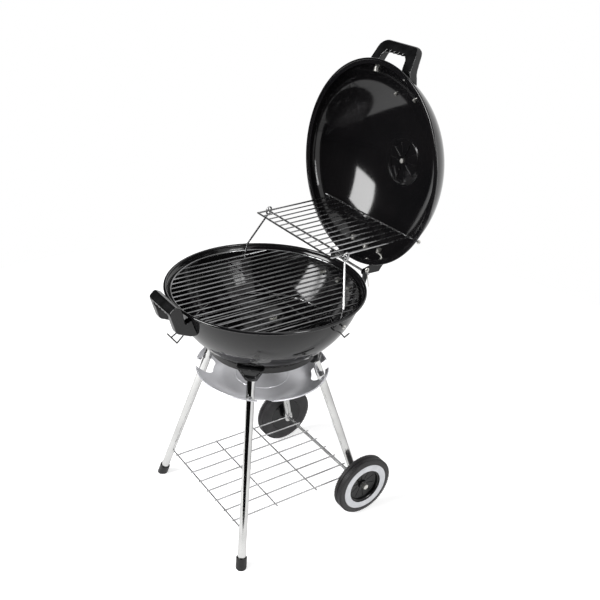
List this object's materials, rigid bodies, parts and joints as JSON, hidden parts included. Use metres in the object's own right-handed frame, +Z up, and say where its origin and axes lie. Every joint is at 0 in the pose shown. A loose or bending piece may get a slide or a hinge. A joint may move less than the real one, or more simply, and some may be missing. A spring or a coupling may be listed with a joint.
{
  "type": "kettle charcoal grill",
  "caption": "Round kettle charcoal grill on two legs and two wheels, with a hinged dome lid, a warming rack that swings with it, grates, ash catcher and wire shelf.",
  "frame": {"origin": "centre of the footprint box on the floor, under the middle of the whole grill with its lid open", "axes": "+Z up, -Y towards the front with the bowl handle, +X to the right wheel as seen from the front"},
  "size_m": [0.44, 0.6231, 1.064],
  "materials": {
    "black_enamel": "deep gloss vitreous enamel",
    "black_plastic": "semi-gloss moulded heat-proof plastic",
    "black_wire": "satin black painted wire",
    "plated_wire": "bright plated wire",
    "chromed_tube": "polished chrome plate",
    "bright_fasteners": "bright zinc plate",
    "plain_steel": "plain drawn steel",
    "galvanised_sheet": "bright galvanised sheet, softly mirrored",
    "tyre_black": "moulded black tyre with fine tread",
    "white_band": "white moulded band"
  },
  "bodies": {
    "stand_and_bowl": {"bowl": "black_enamel", "grate_tabs": "black_enamel", "bowl_damper_bolt": "bright_fasteners", "bowl_handle": "black_plastic", "bowl_handle_bolts": "bright_fasteners", "tool_hook": "black_wire", "side_hook": "black_wire", "bowl_hinge_bracket": "black_enamel", "bowl_hinge_bolts": "bright_fasteners", "hinge_rod": "plain_steel", "hinge_cotter": "bright_fasteners", "cooking_grate": "plated_wire", "charcoal_grate": "plated_wire", "support_ring": "black_enamel", "ring_screws": "bright_fasteners", "leg_socket_front_left": "black_plastic", "leg_socket_front_right": "black_plastic", "leg_socket_rear_left": "black_plastic", "leg_socket_rear_right": "black_plastic", "leg_bolts": "bright_fasteners", "leg_front_left": "chromed_tube", "leg_front_right": "chromed_tube", "leg_rear_left": "chromed_tube", "leg_rear_right": "chromed_tube", "foot_cap_left": "black_plastic", "foot_cap_right": "black_plastic", "ash_catcher": "galvanised_sheet", "axle": "plain_steel", "axle_nuts": "bright_fasteners", "bottom_shelf": "plated_wire"},
    "lid": {"lid": "black_enamel", "lid_damper_bolt": "bright_fasteners", "lid_handle": "black_plastic", "lid_handle_bolts": "bright_fasteners", "lid_rivets": "bright_fasteners", "lid_hinge_bracket": "black_enamel", "lid_hinge_bolts": "bright_fasteners"},
    "lid_damper": {"lid_damper": "black_enamel"},
    "bowl_damper": {"bowl_damper": "plain_steel"},
    "warming_rack": {"warming_rack": "plated_wire", "rack_clips": "bright_fasteners"},
    "rack_leg_left": {"rack_leg_left": "plated_wire", "rack_leg_clip_left": "bright_fasteners"},
    "rack_leg_right": {"rack_leg_right": "plated_wire", "rack_leg_clip_right": "bright_fasteners"},
    "wheel_left": {"tyre_left": "tyre_black", "white_band_left": "white_band", "hub_left": "black_plastic"},
    "wheel_right": {"tyre_right": "tyre_black", "white_band_right": "white_band", "hub_right": "black_plastic"}
  },
  "joints": [
    {"name": "lid_hinge", "type": "hinge", "parent": "stand_and_bowl", "child": "lid", "pos_m": [0, 0.17218, 0.588], "axis": [1, 0, 0], "range_deg": [0, 93.78]},
    {"name": "rack_pivot", "type": "hinge", "parent": "lid", "child": "warming_rack", "pos_m": [0, 0.21418, 0.6945], "axis": [1, 0, 0], "range_deg": [-94.2, 0]},
    {"name": "rack_leg_left_pivot", "type": "hinge", "parent": "stand_and_bowl", "child": "rack_leg_left", "pos_m": [-0.1876, 0.00518, 0.562], "axis": [1, 0, 0], "range_deg": [0, 81]},
    {"name": "rack_leg_right_pivot", "type": "hinge", "parent": "stand_and_bowl", "child": "rack_leg_right", "pos_m": [0.1876, 0.00518, 0.562], "axis": [1, 0, 0], "range_deg": [0, 81]},
    {"name": "lid_damper_turn", "type": "hinge", "parent": "lid", "child": "lid_damper", "pos_m": [0, 0.29982, 0.80907], "axis": [0, 0.9978, -0.0659], "range_deg": [0, 36]},
    {"name": "bowl_damper_turn", "type": "hinge", "parent": "stand_and_bowl", "child": "bowl_damper", "pos_m": [0, -0.05682, 0.4176], "axis": [0, 0, 1], "range_deg": [0, 36]},
    {"name": "wheel_left_spin", "type": "hinge", "parent": "stand_and_bowl", "child": "wheel_left", "pos_m": [-0.17, 0.13318, 0.076], "axis": [1, 0, 0], "continuous": true},
    {"name": "wheel_right_spin", "type": "hinge", "parent": "stand_and_bowl", "child": "wheel_right", "pos_m": [0.17, 0.13318, 0.076], "axis": [1, 0, 0], "continuous": true}
  ],
  "couplings": [
    {"joint": "rack_pivot", "follows": "lid_hinge", "ratio": -1.0019},
    {"joint": "rack_leg_left_pivot", "follows": "lid_hinge", "ratio": 0.8616},
    {"joint": "rack_leg_right_pivot", "follows": "lid_hinge", "ratio": 0.8616}
  ]
}
